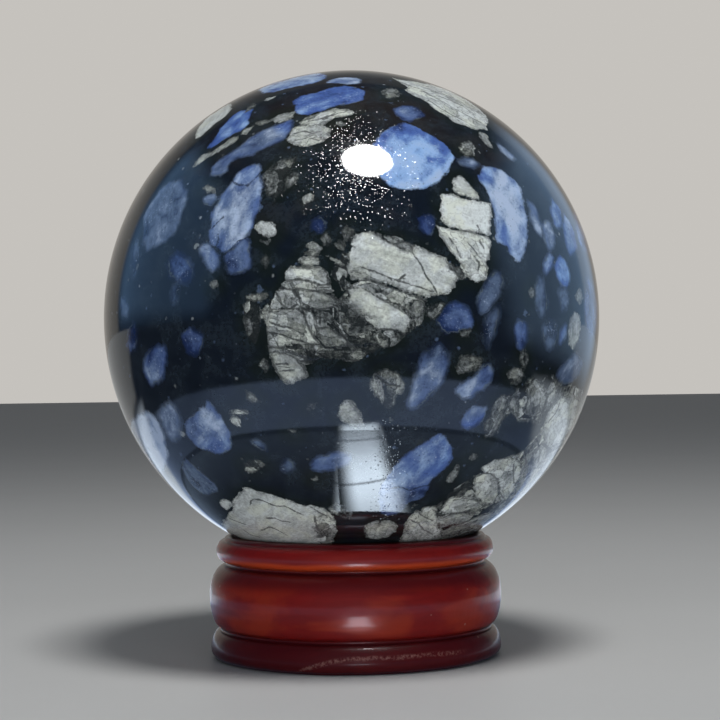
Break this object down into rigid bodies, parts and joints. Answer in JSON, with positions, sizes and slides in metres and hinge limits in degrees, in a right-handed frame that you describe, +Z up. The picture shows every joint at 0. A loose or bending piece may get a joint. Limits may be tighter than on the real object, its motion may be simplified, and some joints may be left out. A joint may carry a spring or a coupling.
{
  "type": "decorative sphere",
  "caption": "Polished ball of dark stone with blue and grey crystals, resting loose in the dished top of a turned, varnished wooden ring stand.",
  "frame": {"origin": "on the surface that the stand stands on, at the middle of the ring", "axes": "+Z up, through the middle of the ring and of the ball; both pieces are round about it, so +X is any direction across, here to the right of the side with the large grey crystals"},
  "size_m": [0.07, 0.07, 0.0826],
  "materials": {
    "polished_stone": "near-black stone with periwinkle blue and grey-green crystals, polished to a high gloss",
    "varnished_wood": "deep red-brown gloss lacquer on turned wood, lightly scuffed at the foot"
  },
  "bodies": {
    "root": {"stone_ball": "polished_stone", "ring_stand": "varnished_wood"}
  },
  "joints": []
}
